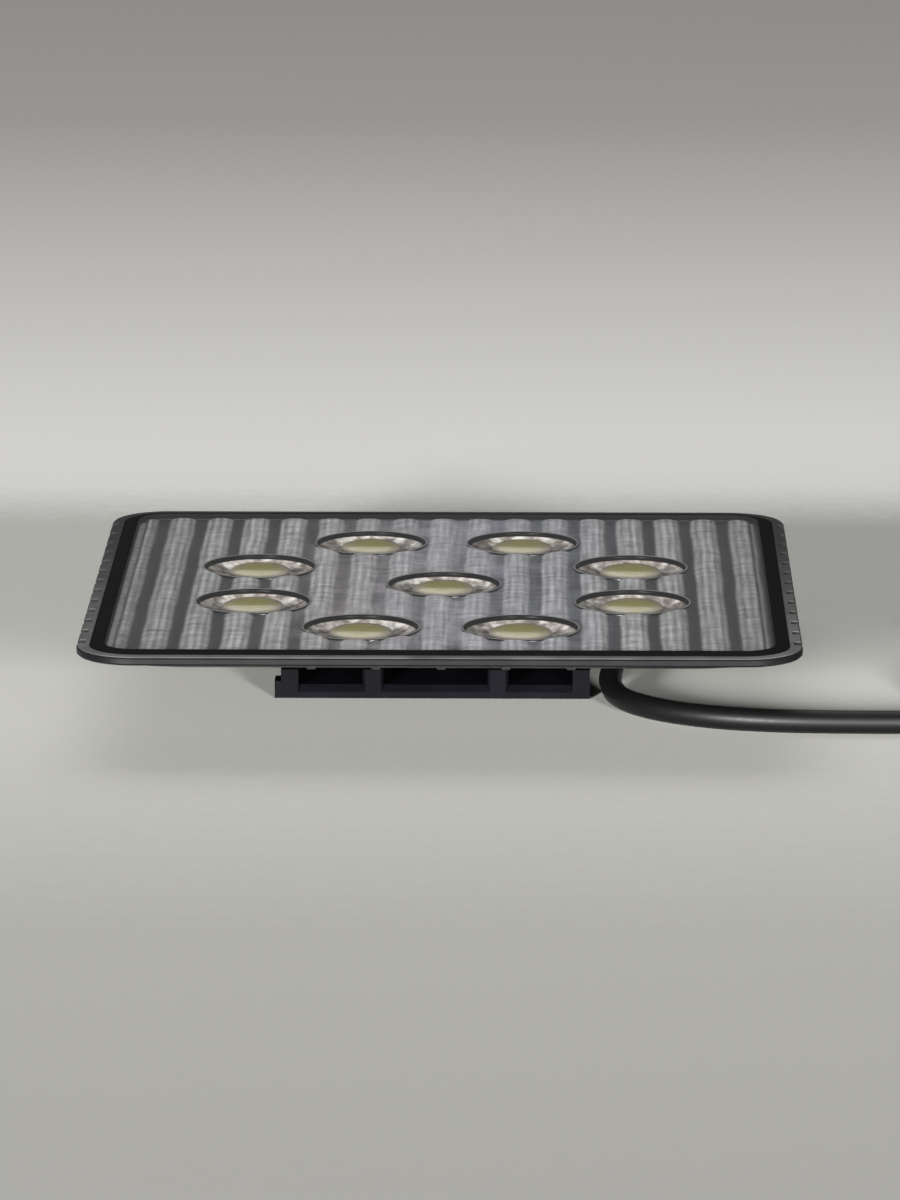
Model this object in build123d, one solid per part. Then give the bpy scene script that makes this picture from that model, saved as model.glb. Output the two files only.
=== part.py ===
from build123d import *
import os
from math import cos, pi, radians, sin, tan

# Square nine-LED fog and work lamp, lying face up on a low cast bracket.
# Millimetres. Origin: centre of the bracket's bolt hole, on its mounting face.
# +Z is the way the light shines, X runs along the tilt pivot.

os.makedirs("parts", exist_ok=True)

# ---- driving dimensions -------------------------------------------------
head_size = 110.0          # outer square of the housing
head_corner = 9.0
head_x = 1.2               # head centre, a little to the cable side
head_y = -6.0              # and in front of the bolt hole
face_z = 17.0              # top of the bezel and lens
led_ring_radii = (32.0, 34.2)   # the ring is slightly deeper than wide
led_ring_count = 8
cup_radius = 8.7
stripe_pitch = 6.1         # reflector flutes
pivot_z = 6.3
foot_width = 48.4
foot_depth = 32.0
leg_thickness = 2.7
cable_diameter = 3.6

# ---- heights through the head -------------------------------------------
rim_top = face_z - 0.4
flange_bottom = 15.3
ledge_z = 15.5             # where gasket and sealant sit
cavity_top = 15.2
cavity_floor = 11.6
back_z = 10.4              # outside of the housing's flat back
pad_thickness = 0.3
board_thickness = 1.0
board_top = cavity_floor + pad_thickness + board_thickness
base_height = 1.3          # LED ceramic base
gasket_top = 16.1
border_top = 16.5          # lens border, held under the bezel's lip
window_bottom = 16.4

# ---- plan sizes of the head's layers -------------------------------------
rebate = 106.1
cavity = 101.6
bezel_outer = 105.9
bezel_inner = 101.8
lens_border = 104.4
lens_window = 101.5
reflector_size = 101.2
cavity_floor_size = (88.0, 71.2)
back_size = (91.4, 68.2)
board_size = (80.0, 73.6)
board_corner_cut = 24.0


# ---- helpers --------------------------------------------------------------
def place(x, y, z=0.0):
    """A location given from the centre of the head."""
    return Location((head_x + x, head_y + y, z))


def slab(width, depth, corner, low, high, x=0.0, y=0.0):
    """Rounded-corner plate, centred on the head unless moved."""
    outline = place(x, y, low) * RectangleRounded(width, depth, corner)
    return extrude(outline, high - low)


def square(size, low, high):
    """Square plate whose corner follows the housing's corner."""
    corner = head_corner - (head_size - size) / 2
    return slab(size, size, corner, low, high)


def square_ring(outer, inner, low, high):
    return square(outer, low, high) - square(inner, low - 1, high + 1)


def disc(radius, low, high):
    """Upright cylinder on the Z axis."""
    return Pos(0, 0, (low + high) / 2) * Cylinder(radius, high - low)


def block(x0, x1, y0, y1, z0, z1):
    """Box between two corners, in the object's own frame."""
    middle = Pos((x0 + x1) / 2, (y0 + y1) / 2, (z0 + z1) / 2)
    return middle * Box(x1 - x0, y1 - y0, z1 - z0)


def washer_x(x0, x1, outer, inner=0.0):
    """Disc or washer about the tilt pivot, from x0 to x1."""
    turned = Pos((x0 + x1) / 2, 0, pivot_z) * Rot(0, 90, 0)
    shape = turned * Cylinder(outer, abs(x1 - x0))
    if inner:
        shape -= turned * Cylinder(inner, abs(x1 - x0) + 1)
    return shape


def prism_y(points, y0, y1):
    """Extrudes an X-Z outline along Y."""
    outline = Polyline(*[(x, y0, z) for x, z in points], close=True)
    return extrude(make_face(outline), y1 - y0, dir=(0, 1, 0))


def prism_x(points, x0, x1):
    """Extrudes a Y-Z outline along X."""
    outline = Polyline(*[(x0, y, z) for y, z in points], close=True)
    return extrude(make_face(outline), x1 - x0, dir=(1, 0, 0))


def fillet_radii(points):
    """One radius for each corner: as large as its two runs allow."""
    radii = []
    for before, corner, after in zip(points, points[1:], points[2:]):
        into = Vector(*corner) - Vector(*before)
        out = Vector(*after) - Vector(*corner)
        half_turn = radians(into.get_angle(out)) / 2
        radii.append(0.45 * min(into.length, out.length) / tan(half_turn))
    return radii


def tube(points, radius, label):
    """Round tube along straight runs joined by tangent arcs."""
    radii = fillet_radii(points)
    path = FilletPolyline(*points, radius=radii)
    start = Plane(origin=points[0], z_dir=path % 0)
    body = sweep(start * Circle(radius), path=path)
    print(label, "arc radii", [round(r, 1) for r in radii],
          "length", round(path.length, 1),
          "volume", round(body.volume, 1), round(pi * radius**2 * path.length, 1))
    return body


def save(shape, name):
    """Writes one sub-part as a compound of its separate solids."""
    solids = shape.solids()
    whole = solids[0] if len(solids) == 1 else Compound(children=list(solids))
    whole.label = name
    export_step(whole, f"parts/{name}.step")


def led_places():
    """Centre LED, then the ring, starting 22.5 degrees off the X axis."""
    places = [(0.0, 0.0)]
    for k in range(led_ring_count):
        angle = 2 * pi * (k + 0.5) / led_ring_count
        places.append((led_ring_radii[0] * cos(angle), led_ring_radii[1] * sin(angle)))
    return places


screw_spot = 13.4
board_screw_places = [(sx * screw_spot, sy * screw_spot)
                      for sx in (-1, 1) for sy in (-1, 1)]
ear_inner, ear_outer = 16.3, 20.9
ear_radius = 3.8
gland_x, gland_z = 30.0, 7.4
gland_bore = 2.6
gland_front, gland_back = 12.5, 22.0
wire_passage = (gland_x, 20.3)
vent_place = (-27.5, 29.0)
m4_radius = 2.0


# ---- housing ---------------------------------------------------------------
def housing():
    body = square(head_size, flange_bottom, rim_top)
    lower_edges = body.faces().sort_by(Axis.Z)[0].edges()
    upper_edges = body.faces().sort_by(Axis.Z)[-1].edges()
    body = chamfer(lower_edges + upper_edges, 0.3)

    # dished back, flat in the middle
    dish_top = head_size - 1.6
    body += loft([place(0, 0, flange_bottom) * RectangleRounded(dish_top, dish_top, 8.2),
                  place(0, 0, back_z) * RectangleRounded(*back_size, 6.0)])

    # fins outside the bracket: long ones at both sides, low ones in the middle
    fin_tip, fin_thickness = 7.9, 1.3
    long_root, long_tip = 26.0, 14.0
    for side in (-1, 1):
        for x in (33.6, 37.0, 40.4, 43.8):
            middle = head_x + side * x
            outline = [(head_y - long_root, back_z + 0.3), (head_y - long_tip, fin_tip),
                       (head_y + long_tip, fin_tip), (head_y + long_root, back_z + 0.3)]
            body += prism_x(outline, middle - fin_thickness / 2, middle + fin_thickness / 2)
    low_tip = 9.2
    for offset in (-20.0, -10.0, 0.0, 10.0, 20.0):
        x = head_x + offset
        for y0, y1 in ((-36.0, -24.0), (17.0, 26.0)):
            body += block(x - fin_thickness / 2, x + fin_thickness / 2,
                          y0, y1, low_tip, back_z + 0.3)

    # ears that the bracket's legs clamp
    for side in (-1, 1):
        low, high = sorted((side * ear_inner, side * ear_outer))
        body += block(low, high, -ear_radius, ear_radius, pivot_z, back_z + 0.5)
        body += washer_x(low, high, ear_radius)

    # bosses for the board screws, the cable gland and the vent
    for x, y in board_screw_places:
        body += place(x, y) * disc(3.0, 8.6, back_z + 0.4)
    gland_half = 3.3
    body += block(gland_x - gland_half, gland_x + gland_half,
                  gland_front, gland_back, 5.1, back_z + 0.4)

    # inside: rebate for bezel and lens, then the dished cavity
    body -= square(rebate, ledge_z, rim_top + 1)
    body -= square(cavity, cavity_top, ledge_z + 1)
    body -= loft([place(0, 0, cavity_top) * RectangleRounded(cavity, cavity, 4.8),
                  place(0, 0, cavity_floor) * RectangleRounded(*cavity_floor_size, 5.0)])

    # grip notches down the left and right edges of the flange
    notch_pitch, notch_width, notch_depth, notch_count = 7.3, 2.2, 1.3, 13
    for side in (-1, 1):
        for k in range(notch_count):
            y = head_y + notch_pitch * (k - (notch_count - 1) / 2)
            edge = head_x + side * head_size / 2
            low, high = sorted((edge - side * notch_depth, edge + side))
            body -= block(low, high, y - notch_width / 2, y + notch_width / 2,
                          flange_bottom - 1, rim_top + 1)

    # holes: pivot threads, board screws, gland bore, wire passage, vent
    for side in (-1, 1):
        low, high = sorted((side * (ear_inner - 1), side * (ear_outer + 1)))
        body -= washer_x(low, high, m4_radius)
    for x, y in board_screw_places:
        body -= place(x, y) * disc(1.5, 9.4, cavity_floor + 1)
    bore_end = gland_back - 1.4
    body -= (Pos(gland_x, (gland_front - 1 + bore_end) / 2, gland_z) * Rot(90, 0, 0)
             * Cylinder(gland_bore, bore_end - gland_front + 1))
    body -= Pos(*wire_passage) * disc(1.6, gland_z, cavity_floor + 1)
    body -= place(*vent_place) * disc(2.0, back_z - 1, cavity_floor + 1)
    return body


# ---- front: bezel, lens and seals -----------------------------------------
skirt_bottom, skirt_inner = 15.8, 104.6


def bezel():
    """Frame whose top falls gently outwards, with a skirt bedded in sealant."""
    edge_z, flat_size = 16.7, 102.6
    outer_corner = head_corner - (head_size - bezel_outer) / 2
    flat_corner = head_corner - (head_size - flat_size) / 2
    top = loft([place(0, 0, edge_z) * RectangleRounded(bezel_outer, bezel_outer, outer_corner),
                place(0, 0, face_z) * RectangleRounded(flat_size, flat_size, flat_corner)])
    frame = square(bezel_outer, skirt_bottom, edge_z) + top
    frame -= square(skirt_inner, skirt_bottom - 1, border_top)
    return frame - square(bezel_inner, skirt_bottom - 1, face_z + 1)


def sealant_bead():
    return square_ring(bezel_outer, skirt_inner, ledge_z, skirt_bottom)


def lens():
    """Clear plate with a border under the bezel and a shallow pocket below."""
    pocket = 100.3
    cap = square(lens_window, gasket_top, face_z) + square(lens_border, gasket_top, border_top)
    return cap - slab(pocket, pocket, 0.5, gasket_top - 1, window_bottom)


def lens_gasket():
    return square_ring(lens_border, bezel_inner, ledge_z, gasket_top)


# ---- optics ------------------------------------------------------------------
flute_top, plate_top = 16.3, 16.05
flute_shift = 2.2          # the flutes sit a little off centre


def cup():
    """Thin round reflector cup, open at the bottom for its LED."""
    wall, throat = 0.45, 5.1
    step_z, throat_z = 15.75, 14.4
    inner_rim, outer_rim = (cup_radius, 0, flute_top), (cup_radius + wall, 0, flute_top)
    inner = ThreePointArc((cup_radius, 0, step_z), (7.5, 0, 14.9), (throat, 0, throat_z))
    outer = ThreePointArc((throat, 0, throat_z - wall), (7.9, 0, 14.45),
                          (cup_radius + wall, 0, step_z - wall))
    outline = [Line(inner_rim, (cup_radius, 0, step_z)), inner,
               Line((throat, 0, throat_z), (throat, 0, throat_z - wall)), outer,
               Line((cup_radius + wall, 0, step_z - wall), outer_rim),
               Line(outer_rim, inner_rim)]
    return revolve(make_face(outline), Axis.Z)


def reflector():
    """Fluted metallised plate with nine cups."""
    plate = square(reflector_size, cavity_top, plate_top)
    groove = 2.2
    half = reflector_size / 2 - 3.1
    flute_count = 16
    for k in range(flute_count):
        middle = head_x + flute_shift + stripe_pitch * (k - (flute_count - 1) / 2)
        reach = (stripe_pitch - groove) / 2
        outline = [(middle - reach, plate_top - 0.1), (middle - reach, plate_top),
                   (middle - reach + 0.5, flute_top), (middle + reach - 0.5, flute_top),
                   (middle + reach, plate_top), (middle + reach, plate_top - 0.1)]
        plate += prism_y(outline, head_y - half, head_y + half)
    for x, y in led_places():
        plate -= place(x, y) * disc(cup_radius + 0.1, cavity_top - 1, flute_top + 1)
    for x, y in led_places():
        plate += place(x, y) * cup()
    return plate


def led_dome():
    """Low silicone lens over a chip."""
    radius, shoulder, rise = 4.9, 15.35, 0.95
    bottom = board_top + base_height
    ball = (radius**2 + rise**2) / (2 * rise)
    crown = Pos(0, 0, shoulder + rise - ball) * Sphere(ball)
    return disc(radius, bottom, shoulder + rise) & crown


def at_leds(shape):
    return Compound(children=[place(x, y) * shape for x, y in led_places()])


# ---- circuit board and what is on it --------------------------------------
def board_outline(low, high, shrink=0.0):
    half_x, half_y = board_size[0] / 2 - shrink, board_size[1] / 2 - shrink
    cut_x, cut_y = half_x - board_corner_cut, half_y - board_corner_cut
    corners = [(half_x, -cut_y), (half_x, cut_y), (cut_x, half_y), (-cut_x, half_y),
               (-half_x, cut_y), (-half_x, -cut_y), (-cut_x, -half_y), (cut_x, -half_y)]
    outline = [(head_x + x, head_y + y, low) for x, y in corners]
    face = make_face(Polyline(*outline, close=True))
    plate = extrude(face, high - low, dir=(0, 0, 1))
    for x, y in board_screw_places:
        plate -= place(x, y) * disc(1.6, low - 1, high + 1)
    return plate


def board_screw():
    head = disc(2.6, board_top, board_top + 1.6)
    head = fillet(head.faces().sort_by(Axis.Z)[-1].edges(), 0.6)
    cross = block(-1.5, 1.5, -0.35, 0.35, board_top + 0.9, board_top + 2)
    cross += block(-0.35, 0.35, -1.5, 1.5, board_top + 0.9, board_top + 2)
    return head - cross + disc(1.48, 9.6, board_top)


def inductor():
    core = disc(3.4, board_top, board_top + 1.9) - disc(2.9, board_top + 0.4, board_top + 1.5)
    winding = disc(2.85, board_top + 0.4, board_top + 1.5)
    return place(36.0, 0) * (core + winding)


def driver_chip():
    body = block(-2.5, 2.5, -2.0, 2.0, board_top + 0.15, board_top + 1.6)
    for side in (-1, 1):
        for k in range(4):
            x = -1.9 + 1.27 * k
            low, high = sorted((side * 1.8, side * 3.0))
            body += block(x - 0.2, x + 0.2, low, high, board_top, board_top + 0.5)
    return place(-36.0, 0) * body


def capacitors():
    cans = []
    for x, y in ((20.5, 0.0), (-20.5, 0.0)):
        can = disc(2.0, board_top + 0.2, board_top + 1.9)
        foot = block(-2.1, 2.1, -2.1, 2.1, board_top, board_top + 0.25)
        cans.append(place(x, y) * (can + foot))
    return Compound(children=cans)


def diode():
    body = block(-2.1, 2.1, -1.4, 1.4, board_top + 0.1, board_top + 1.5)
    tabs = block(-2.7, 2.7, -0.7, 0.7, board_top, board_top + 0.3)
    return place(0, -20.5) * (body + tabs)


def input_wires():
    """Two cores from the gland up beside the board to its solder pads."""
    wires = []
    for side in (-1, 1):
        x = gland_x + 0.8 * side
        up_y = wire_passage[1]
        run = [(x, 18.5, gland_z), (x, up_y, 8.2), (x, up_y, 13.7),
               (x - 3.0, 17.2, 13.75), (x - 4.6, 15.2, 13.7)]
        path = FilletPolyline(*run, radius=0.5)
        wires.append(sweep(Plane(origin=run[0], z_dir=path % 0) * Circle(0.7), path=path))
    return Compound(children=wires)


# ---- back of the head --------------------------------------------------------
def vent_plug():
    cap = disc(3.8, 8.8, back_z) - disc(1.2, 8.4, 9.2)
    cap = cap + disc(1.9, back_z - 0.2, cavity_floor + 0.2)
    return place(*vent_place) * cap


def cable_grommet():
    """Moulded strain relief: a plug in the bore, a collar and a tapered neck."""
    tip_y, collar = 5.0, 1.0
    outline = [(0, 18.0), (gland_bore, 18.0), (gland_bore, gland_front),
               (2.9, gland_front), (2.9, gland_front - collar),
               (2.7, gland_front - collar - 0.3), (2.1, tip_y), (0, tip_y)]
    face = make_face(Polyline(*[(r, y, 0) for r, y in outline], close=True))
    neck = revolve(face, Axis.Y)
    groove_pitch = 1.5
    for k in range(3):
        y = gland_front - collar - 1.6 - groove_pitch * k
        cut = Pos(0, y, 0) * Rot(90, 0, 0) * (Cylinder(4, 0.5) - Cylinder(1.95, 0.6))
        neck -= cut
    return Pos(gland_x, 0, gland_z) * neck


# ---- tilt pivot -------------------------------------------------------------
leg_inner = foot_width / 2 - leg_thickness
leg_outer = foot_width / 2


def both_sides(shape):
    """A pivot piece built on +X, and its mirror on the other side."""
    return Compound(children=[shape, mirror(shape, Plane.YZ)])


def pivot_screw():
    under_head = leg_outer + 1.0
    head = washer_x(under_head, under_head + 2.0, 3.5)
    head = fillet(head.faces().sort_by(Axis.X)[-1].edges(), 1.2)
    socket = (Pos(under_head + 1.4, 0, pivot_z) * Rot(0, 90, 0)
              * extrude(RegularPolygon(1.45, 6, major_radius=True), 1.2))
    shank = washer_x(ear_inner, under_head, m4_radius - 0.02)
    return head - socket + shank


def lock_washer():
    ring = washer_x(leg_outer + 0.54, leg_outer + 0.98, 3.4, 2.1)
    gap = block(leg_outer, leg_outer + 1.5, -0.25, 0.25, pivot_z + 1.5, pivot_z + 4)
    return ring - gap


def flat_washer():
    return washer_x(leg_outer + 0.02, leg_outer + 0.52, 3.9, 2.12)


def friction_washer():
    return washer_x(ear_outer + 0.05, leg_inner - 0.05, 3.6, 2.1)


# ---- bracket -----------------------------------------------------------------
def bracket():
    half_w, half_d = foot_width / 2, foot_depth / 2
    wall_top, base_top, leg_shoulder = 4.6, 2.0, 9.0
    base = block(-half_w, half_w, -half_d, half_d, 0, base_top)
    front_back = [e for e in base.edges().filter_by(Axis.X) if e.center().Z > 1]
    body = chamfer(front_back, 1.0)
    rib_inner, rib_outer = 8.2, 11.4
    for side in (-1, 1):
        low, high = sorted((side * rib_inner, side * rib_outer))
        rib = block(low, high, -half_d, half_d, 0, wall_top)
        body += chamfer(rib.edges().filter_by(Axis.Z), 0.4)
        low, high = sorted((side * leg_inner, side * half_w))
        outline = [(-half_d, 0), (half_d, 0), (half_d, wall_top), (leg_shoulder, wall_top),
                   (3.2, pivot_z + 1.4), (-3.2, pivot_z + 1.4), (-leg_shoulder, wall_top),
                   (-half_d, wall_top)]
        body += prism_x(outline, low, high)
        body += washer_x(low, high, 3.5)
        low, high = sorted((side * (leg_inner - 1), side * (half_w + 1)))
        body -= washer_x(low, high, m4_radius + 0.08)
    # low wall across the back, closing the three pockets
    back_wall, back_wall_top = 1.5, 7.0
    body += block(-leg_inner, leg_inner, half_d - back_wall, half_d, 0, back_wall_top)
    # small locating tab at the left front corner
    body += block(-half_w - 1.0, -half_w + 0.5, -half_d, -half_d + 4.0, 0, 2.7)
    bolt_radius = 4.2
    return body - disc(bolt_radius, -1, base_top + 1)


# ---- cable: route, coil and terminals --------------------------------------
cable_radius = cable_diameter / 2
cable_exit = (gland_x, 4.85, gland_z)   # just clear of the grommet's tip
coil_centre = (99.0, -18.0)
coil_radius = 20.0
floor_route = [
    cable_exit, (29.8, -1.5, 7.1), (28.5, -8.0, 5.1), (27.1, -14.5, 2.8),
    (28.2, -21.3, 1.8), (31.4, -27.5, 1.8), (36.9, -32.8, 1.8), (44.6, -36.6, 1.8),
    (53.8, -38.5, 1.8), (65.0, -39.0, 1.8), (76.5, -38.9, 1.8), (88.0, -38.4, 1.8),
    (coil_centre[0], coil_centre[1] - coil_radius, 1.8),
]
tail_route = [
    (coil_centre[0] + coil_radius, coil_centre[1], 5.4), (119.0, -11.5, 5.4),
    (118.0, -4.6, 4.6), (115.2, 1.8, 3.2), (110.6, 7.2, 2.3),
]
split_run = 4              # the lead ends in the middle of this run


def cable_pieces():
    """The stretch from the gland to the floor, and the stretch along the floor."""
    whole = tube(floor_route, cable_radius, "cable")
    before, after = Vector(*floor_route[split_run]), Vector(*floor_route[split_run + 1])
    cut = Plane(origin=(before + after) * 0.5, z_dir=after - before)
    lead = split(whole, bisect_by=cut, keep=Keep.BOTTOM)
    return lead, split(whole, bisect_by=cut, keep=Keep.TOP)


def cable_coil():
    """Outer shape of one and a quarter turns, the last part on top of the first."""
    inner, outer = coil_radius - cable_radius, coil_radius + cable_radius
    ring = disc(outer, 0, cable_diameter) - disc(inner, -1, cable_diameter + 1)
    climb_start, climb_end = radians(230), radians(362)
    reach = coil_radius * 3
    middle = (climb_start + climb_end) / 2
    wedge = Polyline((0, 0), (reach * cos(climb_start), reach * sin(climb_start)),
                     (reach * cos(middle), reach * sin(middle)),
                     (reach * cos(climb_end), reach * sin(climb_end)), close=True)
    top = disc(outer, cable_diameter, 2 * cable_diameter) - disc(inner, 0, 2 * cable_diameter + 1)
    top = top & extrude(make_face(wedge), 2 * cable_diameter)
    return Pos(*coil_centre) * (ring + top)


boot_length, boot_radius = 8.0, 2.2
tail_end = tail_route[-1]
boot_heading = radians(132)
boot_end = (tail_end[0] + boot_length * cos(boot_heading),
            tail_end[1] + boot_length * sin(boot_heading), tail_end[2])
core_radius = 0.9
terminal_heading = radians(160)


def along(start, heading, forward, sideways, z):
    """A point forward and to the left of a start, at height z."""
    return (start[0] + forward * cos(heading) - sideways * sin(heading),
            start[1] + forward * sin(heading) + sideways * cos(heading), z)


def rod(start, heading, length, radius):
    """Level round rod from a start point."""
    face = Plane(origin=start, z_dir=(cos(heading), sin(heading), 0)) * Circle(radius)
    return extrude(face, length)


def cable_boot():
    return rod(tail_end, boot_heading, boot_length, boot_radius)


def core_route(side):
    middle_heading = (boot_heading + terminal_heading) / 2
    first = along(boot_end, boot_heading, 0, side * 1.0, tail_end[2])
    second = along(boot_end, boot_heading, 3.5, side * 1.1, 2.2)
    third = along(second, middle_heading, 3.5, side * 0.5, 1.9)
    last = along(third, terminal_heading, 3.5, side * 0.4, 1.7)
    return [first, second, third, last]


def core(side, label):
    return tube(core_route(side), core_radius, label)


sleeve_length, sleeve_radius = 8.0, 1.6
bullet_length, bullet_radius = 6.5, 1.15


def terminal_sleeves():
    sleeves = [rod(core_route(side)[-1], terminal_heading, sleeve_length, sleeve_radius)
               for side in (-1, 1)]
    return Compound(children=sleeves)


def terminal_bullets():
    """Brass bullets with a waist behind a rounded nose."""
    bullets = []
    for side in (-1, 1):
        start = along(core_route(side)[-1], terminal_heading, sleeve_length, 0, 1.7)
        body = rod(start, terminal_heading, bullet_length, bullet_radius)
        far_face = max(body.faces(), key=lambda f: (f.center() - Vector(*start)).length)
        body = fillet(far_face.edges(), 0.7)
        waist_start = along(start, terminal_heading, 3.4, 0, 1.7)
        body -= (rod(waist_start, terminal_heading, 0.9, bullet_radius + 1)
                 - rod(waist_start, terminal_heading, 0.9, bullet_radius - 0.25))
        bullets.append(body)
    return Compound(children=bullets)


# ---- build and write every sub-part --------------------------------------------
cable_lead, cable_run = cable_pieces()
nodes = {
    "housing": housing(),
    "bezel": bezel(),
    "sealant_bead": sealant_bead(),
    "lens": lens(),
    "lens_gasket": lens_gasket(),
    "reflector": reflector(),
    "led_domes": at_leds(led_dome()),
    "led_bases": at_leds(disc(4.95, board_top, board_top + base_height)),
    "led_board": board_outline(cavity_floor + pad_thickness, board_top),
    "thermal_pad": board_outline(cavity_floor, cavity_floor + pad_thickness, 1.5),
    "board_screws": Compound(children=[place(x, y) * board_screw()
                                       for x, y in board_screw_places]),
    "inductor": inductor(),
    "driver_chip": driver_chip(),
    "capacitors": capacitors(),
    "diode": diode(),
    "input_wires": input_wires(),
    "vent_plug": vent_plug(),
    "cable_grommet": cable_grommet(),
    "pivot_screws": both_sides(pivot_screw()),
    "lock_washers": both_sides(lock_washer()),
    "flat_washers": both_sides(flat_washer()),
    "friction_washers": both_sides(friction_washer()),
    "bracket": bracket(),
    "cable_lead": cable_lead,
    "cable_run": cable_run,
    "cable_coil": cable_coil(),
    "cable_tail": tube(tail_route, cable_radius, "tail"),
    "cable_boot": cable_boot(),
    "core_red": core(-1, "red core"),
    "core_black": core(1, "black core"),
    "terminal_sleeves": terminal_sleeves(),
    "terminal_bullets": terminal_bullets(),
}
for name, shape in nodes.items():
    save(shape, name)
print("wrote", len(nodes), "sub-parts")
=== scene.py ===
import bpy
import bmesh
from math import cos, pi, radians, sin, sqrt
from mathutils import Matrix, Vector


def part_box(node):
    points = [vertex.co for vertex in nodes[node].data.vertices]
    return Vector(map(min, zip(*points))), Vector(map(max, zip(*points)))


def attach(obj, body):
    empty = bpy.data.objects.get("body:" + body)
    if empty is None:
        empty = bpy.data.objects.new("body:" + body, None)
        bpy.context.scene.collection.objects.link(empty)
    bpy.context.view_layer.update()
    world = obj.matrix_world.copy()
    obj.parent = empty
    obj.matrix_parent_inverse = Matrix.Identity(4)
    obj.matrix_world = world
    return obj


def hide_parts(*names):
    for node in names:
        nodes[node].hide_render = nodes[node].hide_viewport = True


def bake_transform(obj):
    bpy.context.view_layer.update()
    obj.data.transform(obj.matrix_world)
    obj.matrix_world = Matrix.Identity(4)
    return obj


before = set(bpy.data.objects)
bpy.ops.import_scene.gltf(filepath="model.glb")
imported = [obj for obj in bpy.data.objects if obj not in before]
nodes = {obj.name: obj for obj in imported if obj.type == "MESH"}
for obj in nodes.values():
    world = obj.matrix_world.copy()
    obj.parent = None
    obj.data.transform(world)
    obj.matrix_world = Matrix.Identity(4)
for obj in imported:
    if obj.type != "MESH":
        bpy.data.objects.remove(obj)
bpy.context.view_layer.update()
scene = bpy.context.scene
mm = 0.001
print("frame loaded:", len(nodes), "nodes")


# small tools that every piece uses
def linearColour(code, alpha=1.0):
    # sRGB hex to the linear values that shaders work in
    parts = [int(code[i:i + 2], 16) / 255 for i in (1, 3, 5)]
    linear = [c / 12.92 if c <= 0.04045 else ((c + 0.055) / 1.055) ** 2.4 for c in parts]
    return (*linear, alpha)


def addNode(tree, kind, settings=None, links=None):
    # settings are sockets by name or number, or properties; links give each socket an output
    node = tree.nodes.new(kind)
    for key, value in (settings or {}).items():
        if isinstance(key, int) or key in node.inputs:
            node.inputs[key].default_value = value
        else:
            setattr(node, key, value)
    for key, output in (links or {}).items():
        tree.links.new(output, node.inputs[key])
    return node


def newMaterial(name):
    material = bpy.data.materials.new(name)
    material.use_nodes = True
    tree = material.node_tree
    tree.nodes.clear()
    return material, tree


def setRamp(ramp, stops):
    elements = ramp.color_ramp.elements
    while len(elements) < len(stops):
        elements.new(0.5)
    for element, (position, code) in zip(elements, stops):
        element.position = position
        element.color = linearColour(code)


def paint(target, material):
    target.data.materials.clear()
    target.data.materials.append(material)


def addPiece(name, mesh, material, body=None, stands=()):
    piece = bpy.data.objects.new(name, mesh)
    scene.collection.objects.link(piece)
    paint(piece, material)
    if body:
        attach(piece, body)
    if stands:
        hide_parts(*stands)
    return piece


def bakedMesh(thing):
    # the mesh of a curve, or of a piece with its modifiers applied
    graph = bpy.context.evaluated_depsgraph_get()
    mesh = bpy.data.meshes.new_from_object(thing.evaluated_get(graph))
    bpy.data.objects.remove(thing)
    return mesh


def meshFrom(shape, name, smooth=True):
    for face in shape.faces:
        face.smooth = smooth
    mesh = bpy.data.meshes.new(name)
    shape.to_mesh(mesh)
    shape.free()
    return mesh


def spinProfile(shape, profile, steps, place, closed=True):
    # turns a radius-height outline about Z, then puts it in place; a tag marks what is placed
    corners = [shape.verts.new((radius, 0, height)) for radius, height in profile]
    ends = list(zip(corners, corners[1:]))
    if closed:
        ends.append((corners[-1], corners[0]))
    lines = [shape.edges.new(pair) for pair in ends]
    bmesh.ops.spin(shape, geom=corners + lines, cent=(0, 0, 0), axis=(0, 0, 1),
                   angle=2 * pi, steps=steps, use_merge=True)
    fresh = set(corners)
    fresh.update(v for v in shape.verts if not v.tag)
    bmesh.ops.transform(shape, matrix=place, verts=list(fresh))
    for corner in shape.verts:
        corner.tag = True


lowCorner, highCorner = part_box("housing")
headX, headY = (lowCorner.x + highCorner.x) / 2, (lowCorner.y + highCorner.y) / 2
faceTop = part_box("bezel")[1].z

camera = {
    "elevation": 12.28,      # degrees above the lamp's face
    "azimuth": 0.8,          # degrees towards the cable side
    "distance": 1128.6 * mm,
    "lens": 214.8,           # mm
    "sensor": 36,            # mm
    "aimRight": 0.95 * mm,
    "aimDown": 3.3 * mm,
}


def makeCamera():
    up, side = radians(camera["elevation"]), radians(camera["azimuth"])
    towards = Vector((sin(side) * cos(up), -cos(side) * cos(up), sin(up)))
    data = bpy.data.cameras.new("lampCamera")
    data.lens = camera["lens"]
    data.sensor_width = camera["sensor"]
    data.clip_start, data.clip_end = 0.01, 20
    eye = bpy.data.objects.new("lampCamera", data)
    scene.collection.objects.link(eye)
    turn = (-towards).to_track_quat("-Z", "Y")
    right, above = turn @ Vector((1, 0, 0)), turn @ Vector((0, 1, 0))
    shift = right * camera["aimRight"] - above * camera["aimDown"]
    eye.location = Vector((headX, headY, faceTop)) + towards * camera["distance"] + shift
    eye.rotation_euler = turn.to_euler()
    scene.camera = eye


makeCamera()
print("camera placed")

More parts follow.
